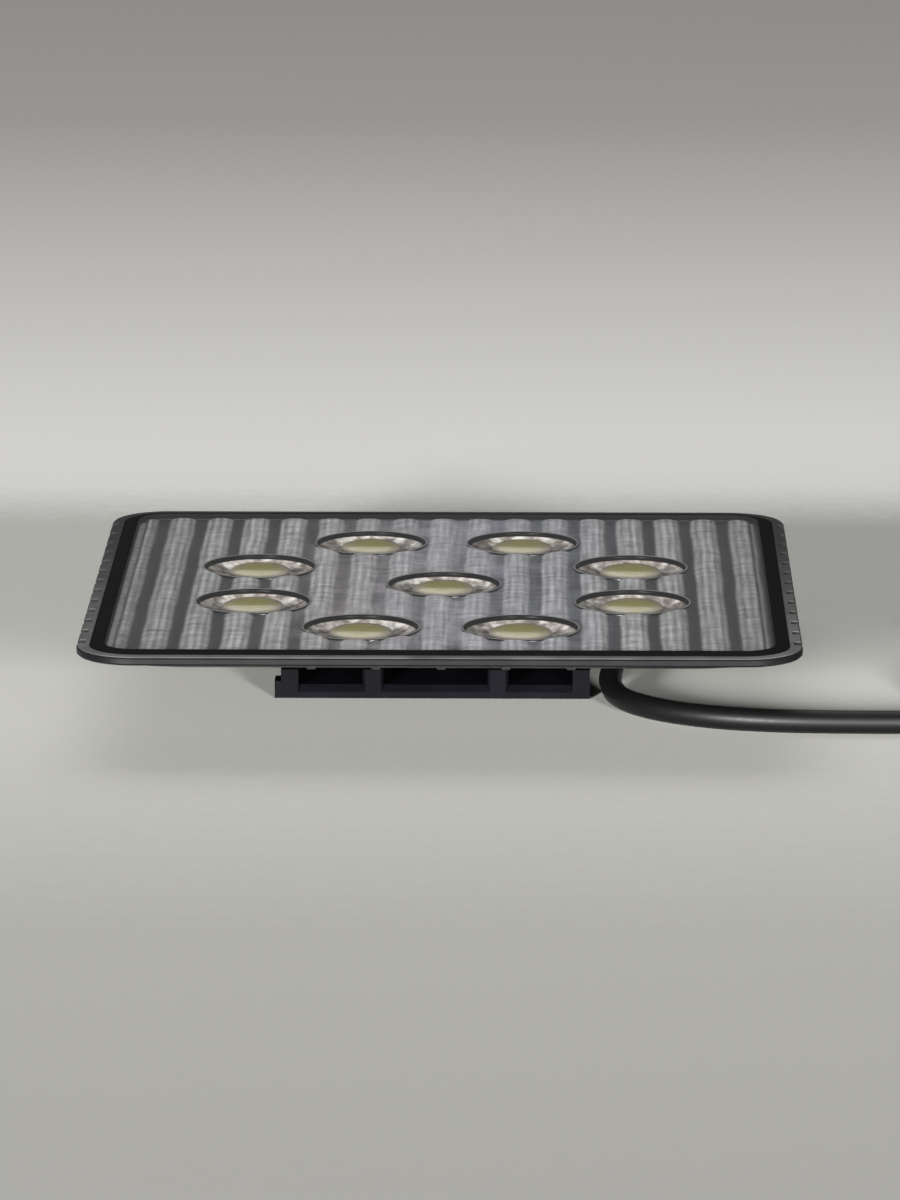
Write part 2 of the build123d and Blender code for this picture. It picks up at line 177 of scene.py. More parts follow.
cable = {
    "diameter": 3.6 * mm,
    "length": 292 * mm,
    # from here on in plain millimetres, turned into metres when the curve is made
    "route": [(30.0, 4.85, 7.4), (29.8, -1.5, 7.1), (28.5, -8.0, 5.1), (27.1, -14.5, 2.8),
              (28.2, -21.3, 1.8), (31.4, -27.5, 1.8), (36.9, -32.8, 1.8), (44.6, -36.6, 1.8),
              (53.8, -38.5, 1.8), (65.0, -39.0, 1.8), (76.5, -38.9, 1.8), (88.0, -38.4, 1.8)],
    "landed": 4,             # the route's point from which it lies on the floor
    "coilCentre": (99.0, -18.0),
    "coilRadius": 19.9,
    "coilTurns": 1.25,
    "coilFrom": -90,         # degrees from X where the first turn begins
    "pointsPerTurn": 16,
    "climbFrom": 205, "climbTo": 260,      # degrees round the first turn
    "low": 1.8, "high": 5.4,
    "tail": [(119.0, -11.5, 5.4), (118.0, -4.6, 4.6), (115.2, 1.8, 3.2), (110.6, 7.2, 2.3)],
    "ringSides": 16,
}


def coilPoints():
    centreX, centreY = cable["coilCentre"]
    count = int(cable["coilTurns"] * cable["pointsPerTurn"])
    # a spline of order 3 runs a little inside its points
    reach = cable["coilRadius"] * (1 + 0.5 * (1 / cos(pi / cable["pointsPerTurn"]) - 1))
    points = []
    for k in range(count + 1):
        degrees = cable["coilFrom"] + 360 * k / cable["pointsPerTurn"]
        climb = (degrees - cable["climbFrom"]) / (cable["climbTo"] - cable["climbFrom"])
        climb = min(max(climb, 0), 1)
        height = cable["low"] + climb * (cable["high"] - cable["low"])
        angle = radians(degrees)
        points.append((centreX + reach * cos(angle), centreY + reach * sin(angle), height))
    return points


def splineCurve(name, points, bevel):
    data = bpy.data.curves.new(name, "CURVE")
    data.dimensions = "3D"
    data.resolution_u = 12
    spline = data.splines.new("NURBS")
    spline.points.add(len(points) - 1)
    for spot, (x, y, z) in zip(spline.points, points):
        spot.co = (x * mm, y * mm, z * mm, 1)
    spline.order_u = 3
    spline.use_endpoint_u = True
    data.bevel_depth = bevel
    data.bevel_resolution = cable["ringSides"] // 4 - 1
    data.use_fill_caps = True
    curve = bpy.data.objects.new(name, data)
    scene.collection.objects.link(curve)
    return curve


def makeCable(material, withPieces):
    points = cable["route"] + coilPoints() + cable["tail"]
    line = bakedMesh(splineCurve("cableLine", points, 0))
    mesh = bakedMesh(splineCurve("cableTube", points, cable["diameter"] / 2))
    piece = addPiece("cableJacket", mesh, material,
                     stands=("cable_lead", "cable_run", "cable_coil", "cable_tail"))
    for face in piece.data.polygons:
        face.use_smooth = True
    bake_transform(piece)


coat = {
    "cloudSize": 7 * mm,         # the drifts of dust on it
    "peelDepth": 0.05 * mm,
    "smoother": 0.06, "rougher": 0.08,
}


def powderCoat(name, colour, dust, roughness, specular, grain, frontEdgeSheen=None):
    # polyester powder coat on die-cast aluminium: satin black with a fine orange peel
    material, tree = newMaterial(name)
    point = addNode(tree, "ShaderNodeTexCoord").outputs["Object"]
    noise = addNode(tree, "ShaderNodeTexNoise", {"Scale": 1 / grain, "Detail": 3.0},
                    {"Vector": point})
    cloud = addNode(tree, "ShaderNodeTexNoise", {"Scale": 1 / coat["cloudSize"], "Detail": 4.0},
                    {"Vector": point})
    haze = addNode(tree, "ShaderNodeMapRange", {"From Min": 0.45, "From Max": 0.8, "To Max": 0.5},
                   {"Value": cloud.outputs["Fac"]})
    tone = addNode(tree, "ShaderNodeMix", {"data_type": "RGBA", 6: linearColour(colour),
                   7: linearColour(dust)}, {0: haze.outputs["Result"]})
    if frontEdgeSheen:
        # painted highlight: the top edge is painted paler, most of all along the front, where the
        # light catches it
        split = addNode(tree, "ShaderNodeSeparateXYZ", {}, {"Vector": point})
        top = addNode(tree, "ShaderNodeMapRange", {"From Min": frontEdgeSheen["from"],
                      "From Max": frontEdgeSheen["full"]}, {"Value": split.outputs["Z"]})
        front = addNode(tree, "ShaderNodeMapRange", {"From Min": frontEdgeSheen["back"],
                        "From Max": frontEdgeSheen["front"]}, {"Value": split.outputs["Y"]})
        sheenMask = addNode(tree, "ShaderNodeMath", {"operation": "MULTIPLY"},
                       {0: top.outputs["Result"], 1: front.outputs["Result"]})
        patchy = addNode(tree, "ShaderNodeMapRange", {"From Min": 0.25, "From Max": 0.6,
                         "To Min": 0.45, "To Max": 1.0}, {"Value": cloud.outputs["Fac"]})
        share = addNode(tree, "ShaderNodeMath", {"operation": "MULTIPLY"},
                        {0: sheenMask.outputs["Value"], 1: patchy.outputs["Result"]})
        tone = addNode(tree, "ShaderNodeMix", {"data_type": "RGBA",
                       7: linearColour(frontEdgeSheen["colour"])},
                       {0: share.outputs["Value"], 6: tone.outputs[2]})
    rough = addNode(tree, "ShaderNodeMapRange",
                    {"To Min": roughness - coat["smoother"], "To Max": roughness + coat["rougher"]},
                    {"Value": noise.outputs["Fac"]})
    bump = addNode(tree, "ShaderNodeBump", {"Strength": 0.25, "Distance": coat["peelDepth"]},
                   {"Height": noise.outputs["Fac"]})
    shader = addNode(tree, "ShaderNodeBsdfPrincipled",
                     {"IOR": 1.5, "Specular IOR Level": specular},
                     {"Base Color": tone.outputs[2], "Roughness": rough.outputs["Result"],
                      "Normal": bump.outputs["Normal"]})
    addNode(tree, "ShaderNodeOutputMaterial", {}, {"Surface": shader.outputs["BSDF"]})
    return material


window = {
    "smearSize": 9 * mm,
    "clean": 0.03, "smeared": 0.12,      # roughness
    "ior": 1.35,
    "tint": "#F9FAFA",
}


def clearPolycarbonate():
    # moulded clear window: nearly invisible from above, a mirror at a low angle
    material, tree = newMaterial("clearPolycarbonate")
    point = addNode(tree, "ShaderNodeTexCoord").outputs["Object"]
    smear = addNode(tree, "ShaderNodeTexNoise", {"Scale": 1 / window["smearSize"], "Detail": 3.0},
                    {"Vector": point})
    rough = addNode(tree, "ShaderNodeMapRange",
                    {"To Min": window["clean"], "To Max": window["smeared"]},
                    {"Value": smear.outputs["Fac"]})
    fresnel = addNode(tree, "ShaderNodeFresnel", {"IOR": window["ior"]})
    inside = addNode(tree, "ShaderNodeNewGeometry").outputs["Backfacing"]
    outside = addNode(tree, "ShaderNodeMath", {"operation": "SUBTRACT", 0: 1.0}, {1: inside})
    share = addNode(tree, "ShaderNodeMath", {"operation": "MULTIPLY"},
                    {0: fresnel.outputs["Fac"], 1: outside.outputs["Value"]})
    through = addNode(tree, "ShaderNodeBsdfTransparent", {"Color": linearColour(window["tint"])})
    gloss = addNode(tree, "ShaderNodeBsdfGlossy", {}, {"Roughness": rough.outputs["Result"]})
    mix = addNode(tree, "ShaderNodeMixShader", {}, {0: share.outputs["Value"],
                  1: through.outputs["BSDF"], 2: gloss.outputs["BSDF"]})
    addNode(tree, "ShaderNodeOutputMaterial", {}, {"Surface": mix.outputs["Shader"]})
    return material


mottling = {"grain": 0.8 * mm, "spread": 0.06, "fade": 0.88}


def plain(name, colour, roughness, metallic=0.0, **more):
    # one finish with a faint mottling of its colour and its gloss
    material, tree = newMaterial(name)
    point = addNode(tree, "ShaderNodeTexCoord").outputs["Object"]
    noise = addNode(tree, "ShaderNodeTexNoise", {"Scale": 1 / mottling["grain"], "Detail": 2.0},
                    {"Vector": point})
    full = linearColour(colour)
    faded = (*(c * mottling["fade"] for c in full[:3]), 1.0)
    tone = addNode(tree, "ShaderNodeMix", {"data_type": "RGBA", 6: faded, 7: full},
                   {0: noise.outputs["Fac"]})
    rough = addNode(tree, "ShaderNodeMapRange",
                    {"To Min": roughness - mottling["spread"],
                     "To Max": roughness + mottling["spread"]},
                    {"Value": noise.outputs["Fac"]})
    shader = addNode(tree, "ShaderNodeBsdfPrincipled", {"Metallic": metallic, **more},
                     {"Base Color": tone.outputs[2], "Roughness": rough.outputs["Result"]})
    addNode(tree, "ShaderNodeOutputMaterial", {}, {"Surface": shader.outputs["BSDF"]})
    return material


flutes = {
    "pitch": 6.1 * mm,
    "barOffset": 2.2 * mm,       # a dark bar's place from the middle of the head
    "barWidth": 2.2 * mm,
    "size": 101.2 * mm,
    "cornerRadius": 4.6 * mm,
    "valley": 15.98 * mm,
    "crest": 16.3 * mm,
    "underside": 15.25 * mm,
    "blockLow": 15.0 * mm, "blockHigh": 16.5 * mm,     # the block that trims the plate's outline
    "margin": 1.4 * mm,          # plain strip round the flutes
    "overhang": 1.0 * mm,        # past the outline on every side, before it is trimmed
    "stepsPerFlute": 12,
    "tones": [(0.0, "#3A393B"), (0.13, "#464447"), (0.22, "#E2DEDE"), (0.32, "#B2ADAE"),
              (0.42, "#F5F2F3"), (0.53, "#BDB9BA"), (0.63, "#F3EFF1"), (0.72, "#B0ABAC"),
              (0.79, "#DCD8D8"), (0.88, "#464447")],     # once across, from a bar's middle: painted shade in the dark bar, painted highlight lines on the crest
    "sway": 0.3 * mm, "swaySize": 5 * mm,        # the bars are not quite straight
    "paleFrom": 30 * mm, "paleFull": 8 * mm,     # from the middle of the plate
    "paleShare": 0.75,
    "patchSize": 11 * mm,
    "warmAt": -22 * mm, "coolAt": 14 * mm,       # its tint drifts from one side to the other
    "warm": "#E6D8D9", "cool": "#DEDDEC",
    "streakSize": 0.6 * mm, "streakDepth": 0.04 * mm,
    "rippleSize": 1.6 * mm,
    "dimFrom": 30 * mm, "dimFull": 50 * mm,      # the two ends are darker
    "dimmed": 0.66,
}


def headPoint(tree, stretch=(1, 1, 1)):
    # object coordinates counted from the middle of the head
    point = addNode(tree, "ShaderNodeTexCoord").outputs["Object"]
    moved = addNode(tree, "ShaderNodeVectorMath", {"operation": "SUBTRACT", 1: (headX, headY, 0)},
                    {0: point})
    return addNode(tree, "ShaderNodeVectorMath", {"operation": "MULTIPLY", 1: stretch},
                   {0: moved.outputs["Vector"]}).outputs["Vector"]


def metallisedFlutes():
    # vacuum-metallised plastic, streaked and a little tinted; its colour holds painted shade in the
    # valleys and painted highlight lines on the crests
    material, tree = newMaterial("metallisedFlutes")
    split = addNode(tree, "ShaderNodeSeparateXYZ", {}, {"Vector": headPoint(tree)})
    wander = addNode(tree, "ShaderNodeTexNoise", {"Scale": 1 / flutes["swaySize"], "Detail": 1.0},
                     {"Vector": headPoint(tree, (1, 0.3, 1))})
    sway = addNode(tree, "ShaderNodeMapRange",
                   {"To Min": -flutes["sway"], "To Max": flutes["sway"]},
                   {"Value": wander.outputs["Fac"]})
    across = addNode(tree, "ShaderNodeMath", {"operation": "ADD"},
                     {0: split.outputs["X"], 1: sway.outputs["Result"]})
    fromBar = addNode(tree, "ShaderNodeMath", {"operation": "SUBTRACT", 1: flutes["barOffset"]},
                      {0: across.outputs["Value"]})
    cycles = addNode(tree, "ShaderNodeMath", {"operation": "DIVIDE", 1: flutes["pitch"]},
                     {0: fromBar.outputs["Value"]})
    share = addNode(tree, "ShaderNodeMath", {"operation": "FRACT"}, {0: cycles.outputs["Value"]})
    # painted shade in the valleys and painted highlight lines on the crests, repeated across the
    # plate
    barShadeAndHighlights = addNode(tree, "ShaderNodeValToRGB", {}, {"Fac": share.outputs["Value"]})
    setRamp(barShadeAndHighlights, flutes["tones"])
    # the middle of the plate catches more light, so its bars are paler
    reach = addNode(tree, "ShaderNodeMath", {"operation": "ABSOLUTE"}, {0: split.outputs["X"]})
    patch = addNode(tree, "ShaderNodeTexNoise", {"Scale": 1 / flutes["patchSize"], "Detail": 3.0},
                    {"Vector": headPoint(tree)})
    middle = addNode(tree, "ShaderNodeMapRange", {"From Min": flutes["paleFrom"],
                     "From Max": flutes["paleFull"], "To Min": 0.0,
                     "To Max": flutes["paleShare"]}, {"Value": reach.outputs["Value"]})
    pale = addNode(tree, "ShaderNodeMapRange", {"From Min": 0.3, "From Max": 0.7,
                   "To Min": 0.25, "To Max": 1.0}, {"Value": patch.outputs["Fac"]})
    blend = addNode(tree, "ShaderNodeMath", {"operation": "MULTIPLY"},
                    {0: middle.outputs["Result"], 1: pale.outputs["Result"]})
    tint = addNode(tree, "ShaderNodeMapRange",
                   {"From Min": flutes["warmAt"], "From Max": flutes["coolAt"]},
                   {"Value": split.outputs["X"]})
    cast = addNode(tree, "ShaderNodeMix", {"data_type": "RGBA", 6: linearColour(flutes["warm"]),
                   7: linearColour(flutes["cool"])}, {0: tint.outputs["Result"]})
    body = addNode(tree, "ShaderNodeMix", {"data_type": "RGBA"},
                   {0: blend.outputs["Value"], 6: barShadeAndHighlights.outputs["Color"], 7: cast.outputs[2]})
    # drawn streaks, far longer than they are wide, and fine ripples across them
    streak = addNode(tree, "ShaderNodeTexNoise", {"Scale": 1 / flutes["streakSize"], "Detail": 2.0},
                     {"Vector": headPoint(tree, (1, 0.05, 1))})
    ripple = addNode(tree, "ShaderNodeTexNoise", {"Scale": 1 / flutes["rippleSize"], "Detail": 1.0},
                     {"Vector": headPoint(tree, (0.35, 1, 1))})
    both = addNode(tree, "ShaderNodeMath", {"operation": "ADD"},
                   {0: streak.outputs["Fac"], 1: ripple.outputs["Fac"]})
    shade = addNode(tree, "ShaderNodeMapRange", {"From Min": 0.6, "From Max": 1.4,
                    "To Min": 0.45, "To Max": 1.3}, {"Value": both.outputs["Value"]})
    ends = addNode(tree, "ShaderNodeMapRange", {"From Min": flutes["dimFrom"],
                   "From Max": flutes["dimFull"], "To Min": 1.0, "To Max": flutes["dimmed"]},
                   {"Value": reach.outputs["Value"]})
    level = addNode(tree, "ShaderNodeMath", {"operation": "MULTIPLY"},
                    {0: shade.outputs["Result"], 1: ends.outputs["Result"]})
    colour = addNode(tree, "ShaderNodeVectorMath", {"operation": "SCALE"},
                     {0: body.outputs[2], "Scale": level.outputs["Value"]})
    bump = addNode(tree, "ShaderNodeBump", {"Strength": 0.3, "Distance": flutes["streakDepth"]},
                   {"Height": streak.outputs["Fac"]})
    shader = addNode(tree, "ShaderNodeBsdfPrincipled", {"Metallic": 0.2, "Roughness": 0.3},
                     {"Base Color": colour.outputs["Vector"], "Normal": bump.outputs["Normal"]})
    addNode(tree, "ShaderNodeOutputMaterial", {}, {"Surface": shader.outputs["BSDF"]})
    return material


cups = {
    "ringRadii": (32.0 * mm, 34.2 * mm),
    "ringCount": 8,
    # outlines as radius and height in millimetres
    "rim": [(9.15, 15.9), (9.13, 16.24), (9.04, 16.31), (8.9, 16.31), (8.78, 16.22),
            (8.72, 16.0), (8.6, 15.56), (8.42, 15.4), (8.4, 15.2), (9.1, 15.2)],
    "bowl": [(8.56, 15.54), (8.1, 15.24), (7.4, 14.95), (6.4, 14.66), (5.1, 14.45),
             (5.1, 14.1), (7.6, 14.4), (8.56, 15.2)],
    "rimSteps": 64,
    "facets": 26,
    "holeRadius": 9.0 * mm, "holeDepth": 4.0 * mm,     # cut in the plate, under the rim
    "wallLow": 15.53 * mm, "wallHigh": 16.24 * mm,     # the steep part, painted near-black as painted shade
    "wallSoftness": 0.04 * mm,
    "wallShadeTone": "#0B0A06",
    "lipTone": "#8E8A89",
    "facetSize": 1.6 * mm,
    "tones": [(0.34, "#7C6F69"), (0.45, "#A89A92"), (0.55, "#D2C6BC"), (0.66, "#F2ECE4")],
}


def ledPlaces():
    places = [(0.0, 0.0)]
    for k in range(cups["ringCount"]):
        angle = 2 * pi * (k + 0.5) / cups["ringCount"]
        places.append((cups["ringRadii"][0] * cos(angle), cups["ringRadii"][1] * sin(angle)))
    return [Matrix.Translation((headX + x, headY + y, 0)) for x, y in places]


def metallisedCups():
    # the same metallising on the cups: pale bowls under a steep wall painted near-black, painted
    # shade standing in for the shadow on the cup's wall
    material, tree = newMaterial("metallisedCups")
    point = headPoint(tree)
    height = addNode(tree, "ShaderNodeSeparateXYZ", {}, {"Vector": point}).outputs["Z"]
    wall = addNode(tree, "ShaderNodeMapRange", {"From Min": cups["wallLow"] - cups["wallSoftness"],
                   "From Max": cups["wallLow"] + cups["wallSoftness"]}, {"Value": height})
    crown = addNode(tree, "ShaderNodeMapRange", {"From Min": cups["wallHigh"] + 0.08 * mm,
                    "From Max": cups["wallHigh"] + 0.02 * mm}, {"Value": height})
    paintedWallShade = addNode(tree, "ShaderNodeMath", {"operation": "MULTIPLY"},
                    {0: wall.outputs["Result"], 1: crown.outputs["Result"]})
    lip = addNode(tree, "ShaderNodeMapRange", {"From Min": cups["wallHigh"],
                  "From Max": cups["wallHigh"] + 0.05 * mm}, {"Value": height})
    facet = addNode(tree, "ShaderNodeTexNoise", {"Scale": 1 / cups["facetSize"], "Detail": 2.0},
                    {"Vector": point})
    bowl = addNode(tree, "ShaderNodeValToRGB", {}, {"Fac": facet.outputs["Fac"]})
    setRamp(bowl, cups["tones"])
    # painted shade: the steep wall band is coloured near-black
    inner = addNode(tree, "ShaderNodeMix", {"data_type": "RGBA", 7: linearColour(cups["wallShadeTone"])},
                    {0: paintedWallShade.outputs["Value"], 6: bowl.outputs["Color"]})
    colour = addNode(tree, "ShaderNodeMix", {"data_type": "RGBA", 7: linearColour(cups["lipTone"])},
                     {0: lip.outputs["Result"], 6: inner.outputs[2]})
    rough = addNode(tree, "ShaderNodeMapRange", {"To Min": 0.22, "To Max": 0.6},
                    {"Value": lip.outputs["Result"]})
    shader = addNode(tree, "ShaderNodeBsdfPrincipled", {"Metallic": 0.5},
                     {"Base Color": colour.outputs[2], "Roughness": rough.outputs["Result"]})
    addNode(tree, "ShaderNodeOutputMaterial", {}, {"Surface": shader.outputs["BSDF"]})
    return material


domes = {
    "radius": 4.9 * mm,
    "top": 16.3 * mm,
    "shoulder": 15.25 * mm,
    "foot": 14.2 * mm,
    "fullness": 3.4,             # 2 is a plain ellipse, more is flatter on top
    "steps": 40,
    "rings": 14,
    "tones": [(0.0, "#AB9F40"), (0.45, "#A1964A"), (0.75, "#97905F"), (0.98, "#A39A8C")],
    "grainSize": 0.9 * mm,
    "wobble": 0.16,              # how far the grain shifts the tone
}


def phosphorSilicone():
    # clear silicone over yellow phosphor: strongest over the chip, paler at the foot
    material, tree = newMaterial("phosphorSilicone")
    spread = addNode(tree, "ShaderNodeAttribute", {"attribute_name": "fromChip"})
    grain = addNode(tree, "ShaderNodeTexNoise", {"Scale": 1 / domes["grainSize"], "Detail": 3.0},
                    {"Vector": headPoint(tree)})
    wobble = addNode(tree, "ShaderNodeMapRange",
                     {"To Min": -domes["wobble"], "To Max": domes["wobble"]},
                     {"Value": grain.outputs["Fac"]})
    total = addNode(tree, "ShaderNodeMath", {"operation": "ADD"},
                    {0: spread.outputs["Fac"], 1: wobble.outputs["Result"]})
    ramp = addNode(tree, "ShaderNodeValToRGB", {}, {"Fac": total.outputs["Value"]})
    setRamp(ramp, domes["tones"])
    shader = addNode(tree, "ShaderNodeBsdfPrincipled",
                     {"Roughness": 0.3, "IOR": 1.41, "Coat Weight": 0.7, "Coat Roughness": 0.06},
                     {"Base Color": ramp.outputs["Color"]})
    addNode(tree, "ShaderNodeOutputMaterial", {}, {"Surface": shader.outputs["BSDF"]})
    return material


finishes = {
    # the housing's last argument paints a pale highlight along the front top edge
    "housingCoat": powderCoat("blackPowderCoat", "#09090B", "#161618", 0.42, 0.16, 0.5 * mm,
                              {"from": faceTop - 0.55 * mm, "full": faceTop - 0.42 * mm,
                               "back": headY + 30 * mm, "front": headY - 50 * mm,
                               "colour": "#565453"}),
    "bezelCoat": powderCoat("blackBezelPaint", "#050506", "#0B0B0D", 0.55, 0.02, 0.4 * mm),
    "footCoat": powderCoat("blackFootCoat", "#060609", "#0F1015", 0.6, 0.03, 0.5 * mm),
    "window": clearPolycarbonate(),
    "flutes": metallisedFlutes(),
    "cups": metallisedCups(),
    "phosphor": phosphorSilicone(),
    "ceramic": plain("aluminaCeramic", "#D9D6CC", 0.6),
    "board": plain("whiteSolderMask", "#D3D5D2", 0.4),
    "pad": plain("thermalSilicone", "#8B93A0", 0.8),
    "seal": plain("blackSilicone", "#1B1B1C", 0.55),
    "steel": plain("stainlessSteel", "#B9B9BA", 0.3, metallic=1.0),
    "darkSteel": plain("blackOxideSteel", "#2A2A2D", 0.38, metallic=0.8),
    "chip": plain("mouldedEpoxy", "#1D1D20", 0.5),
    "can": plain("canAluminium", "#C8C9CB", 0.28, metallic=1.0),
    "nylon": plain("blackNylon", "#232326", 0.6),
    "jacket": plain("cableJacketPvc", "#070708", 0.45, **{"Specular IOR Level": 0.2}),
    "redPvc": plain("redPvc", "#A81713", 0.35),
    "blackPvc": plain("blackPvc", "#18181A", 0.35),
    "shrink": plain("heatShrinkPolyolefin", "#141415", 0.5),
    "sleeve": plain("translucentRedVinyl", "#B21D17", 0.28, **{"Coat Weight": 0.4}),
    "brass": plain("tinnedBrass", "#C9B37A", 0.25, metallic=1.0),
}
nodeFinish = {
    "housing": "housingCoat", "bezel": "bezelCoat", "bracket": "footCoat", "lens": "window",
    "reflector": "flutes", "led_domes": "phosphor", "led_bases": "ceramic",
    "led_board": "board", "thermal_pad": "pad", "lens_gasket": "seal", "sealant_bead": "seal",
    "board_screws": "steel", "inductor": "chip", "driver_chip": "chip", "capacitors": "can",
    "diode": "chip", "input_wires": "redPvc", "vent_plug": "nylon", "cable_grommet": "seal",
    "pivot_screws": "darkSteel", "lock_washers": "darkSteel", "flat_washers": "darkSteel",
    "friction_washers": "nylon", "cable_boot": "jacket", "core_red": "redPvc",
    "core_black": "blackPvc", "terminal_sleeves": "redPvc", "terminal_bullets": "brass",
}
for nodeName, finish in nodeFinish.items():
    paint(nodes[nodeName], finishes[finish])
print("finishes:", len(finishes))


def fluteHeight(x):
    # convex crests with a flat dark valley between them
    halfPitch = flutes["pitch"] / 2
    fromBar = (x - flutes["barOffset"] + halfPitch) % flutes["pitch"] - halfPitch
    crestHalf = (flutes["pitch"] - flutes["barWidth"]) / 2
    fromCrest = halfPitch - abs(fromBar)
    if fromCrest > crestHalf:
        return flutes["valley"]
    bulge = sqrt(1 - (fromCrest / crestHalf) ** 2)
    return flutes["valley"] + bulge * (flutes["crest"] - flutes["valley"])


def roundedBlock(size, corner, low, high):
    shape = bmesh.new()
    bmesh.ops.create_cube(shape, size=1)
    bmesh.ops.scale(shape, vec=(size, size, high - low), verts=shape.verts[:])
    upright = [e for e in shape.edges if e.verts[0].co.xy == e.verts[1].co.xy]
    bmesh.ops.bevel(shape, geom=upright, offset=corner, affect="EDGES", segments=8,
                    profile=0.5, material=-1)
    bmesh.ops.translate(shape, vec=(headX, headY, (low + high) / 2), verts=shape.verts[:])
    return shape


def cutBy(mesh, cutter, operation):
    # trims a mesh with a second shape and returns the result
    target = bpy.data.objects.new("blank", mesh)
    tool = bpy.data.objects.new("cutter", meshFrom(cutter, "cutter"))
    scene.collection.objects.link(target)
    scene.collection.objects.link(tool)
    trim = target.modifiers.new("trim", "BOOLEAN")
    trim.operation, trim.object, trim.solver = operation, tool, "EXACT"
    result = bakedMesh(target)
    bpy.data.objects.remove(tool)
    return result


def makeReflector():
    shape = bmesh.new()
    span = flutes["size"] / 2 + flutes["overhang"]
    count = round(2 * span / flutes["pitch"] * flutes["stepsPerFlute"])
    bmesh.ops.create_grid(shape, x_segments=count, y_segments=1, size=span)
    edge = flutes["size"] / 2 - flutes["margin"]
    for corner in shape.verts:
        corner.co.z = fluteHeight(corner.co.x) if abs(corner.co.x) < edge else flutes["valley"]
    lower = bmesh.ops.extrude_face_region(shape, geom=shape.faces[:])
    sunk = [v for v in lower["geom"] if isinstance(v, bmesh.types.BMVert)]
    for corner in sunk:
        corner.co.z = flutes["underside"]
    bmesh.ops.translate(shape, vec=(headX, headY, 0), verts=shape.verts[:])
    bmesh.ops.recalc_face_normals(shape, faces=shape.faces[:])
    mesh = meshFrom(shape, "reflectorPlate", smooth=False)
    outline = roundedBlock(flutes["size"], flutes["cornerRadius"], flutes["blockLow"],
                           flutes["blockHigh"])
    mesh = cutBy(mesh, outline, "INTERSECT")
    holes = bmesh.new()
    for place in ledPlaces():
        spot = place @ Matrix.Translation((0, 0, flutes["crest"]))
        bmesh.ops.create_cone(holes, cap_ends=True, segments=cups["rimSteps"],
                              radius1=cups["holeRadius"], radius2=cups["holeRadius"],
                              depth=cups["holeDepth"], matrix=spot)
    mesh = cutBy(mesh, holes, "DIFFERENCE")
    mesh.name = "reflectorPlate"
    addPiece("reflectorPlate", mesh, finishes["flutes"], "head", ["reflector"])
    print("reflector plate:", len(mesh.polygons), "faces")


def makeCups():
    # smooth rims over facetted bowls
    rim = [(radius * mm, height * mm) for radius, height in cups["rim"]]
    bowl = [(radius * mm, height * mm) for radius, height in cups["bowl"]]
    shape = bmesh.new()
    for place in ledPlaces():
        spinProfile(shape, rim, cups["rimSteps"], place)
    smoothCount = len(shape.faces)
    for place in ledPlaces():
        spinProfile(shape, bowl, cups["facets"], place)
    bmesh.ops.recalc_face_normals(shape, faces=shape.faces[:])
    mesh = meshFrom(shape, "reflectorCups", smooth=False)
    for face in mesh.polygons[:smoothCount]:
        face.use_smooth = True
    addPiece("reflectorCups", mesh, finishes["cups"], "head")
    print("reflector cups:", len(mesh.polygons), "faces")


def makeDomes():
    radius, top, shoulder = domes["radius"], domes["top"], domes["shoulder"]
    outline = []
    for k in range(domes["rings"]):
        # the first ring is a pinhole round the top, filled below
        out = sin(pi / 2 * (k + 0.05) / (domes["rings"] - 0.95))
        fall = sqrt(max(0.0, 1 - out ** domes["fullness"]))
        outline.append((radius * out, shoulder + fall * (top - shoulder)))
    outline.append((radius, domes["foot"]))
    shape = bmesh.new()
    for place in ledPlaces():
        spinProfile(shape, outline, domes["steps"], place, closed=False)
    rings = [e for e in shape.edges if e.is_boundary]
    bmesh.ops.holes_fill(shape, edges=rings, sides=domes["steps"])
    bmesh.ops.recalc_face_normals(shape, faces=shape.faces[:])
    spread = shape.verts.layers.float.new("fromChip")
    centres = [place.translation for place in ledPlaces()]
    for corner in shape.verts:
        away = min((corner.co.xy - centre.xy).length for centre in centres)
        corner[spread] = away / radius
    mesh = meshFrom(shape, "ledDomes")
    addPiece("ledDomes", mesh, finishes["phosphor"], "head", ["led_domes"])
    print("domes:", len(mesh.polygons), "faces")


makeReflector()
makeCups()
makeDomes()

# lengths and outlines in millimetres, headings in degrees from X
cableEnd = {
    "bootHeading": 132,
    "bootLength": 8.0,
    "bootOutline": [(0, 0), (1.86, 0), (2.02, 0.12), (2.0, 0.9), (2.12, 1.6), (2.16, 3.2),
                    (2.2, 5.4), (2.17, 6.9), (2.02, 7.7), (1.7, 8.0), (0, 8.0)],
    # each run goes forward and sideways, with its share of the turn towards the sleeves
    "coreRuns": [(0, 1.0, 0.0), (3.5, 1.1, 0.0), (3.5, 0.5, 0.5), (3.5, 0.4, 1.0)],
    "sleeveHeading": 160,
    "sleeveHeight": 1.7,
    "sleeveOutline": [(0, 0), (1.05, 0), (1.28, 0.1), (1.36, 0.5), (1.4, 4.2), (1.58, 4.8),
                      (1.6, 5.4), (1.6, 7.5), (1.52, 7.85), (1.3, 8.0), (0, 8.0)],
    "steps": 32,
}


def headingPlace(x, y, z, degrees):
    # stands a turned shape at a point with its axis level and pointing the given way
    turn = Matrix.Rotation(radians(degrees), 4, "Z") @ Matrix.Rotation(pi / 2, 4, "Y")
    return Matrix.Translation((x * mm, y * mm, z * mm)) @ turn


